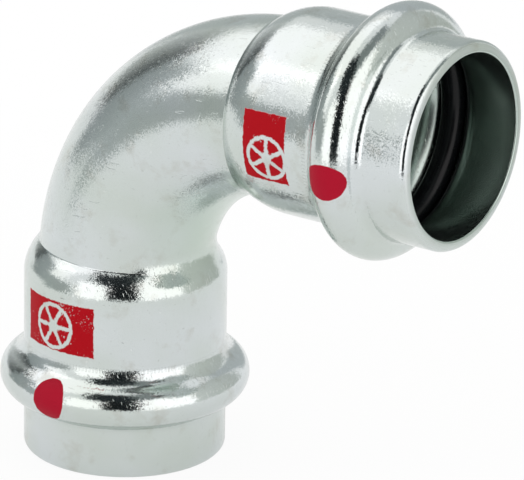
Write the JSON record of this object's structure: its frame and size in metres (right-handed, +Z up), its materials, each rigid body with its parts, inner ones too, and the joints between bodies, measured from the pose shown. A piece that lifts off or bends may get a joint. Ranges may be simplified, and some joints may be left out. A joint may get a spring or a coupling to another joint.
{
  "type": "press-fit elbow",
  "caption": "Right-angle press-fit elbow of plated steel tube: a bent tube with a beaded socket and rubber seal ring at each end, joining pipes without threads.",
  "frame": {"origin": "centre of the lower socket's mouth", "axes": "+Z up along the lower socket's axis into the fitting, +X along the side socket's axis out of its mouth"},
  "size_m": [0.0645, 0.031, 0.0645],
  "materials": {
    "plated_steel": "bright zinc plating, satin",
    "seal_rubber": "smooth moulded"
  },
  "bodies": {
    "root": {"elbow_body": "plated_steel", "lower_seal_ring": "seal_rubber", "side_seal_ring": "seal_rubber"}
  },
  "joints": []
}
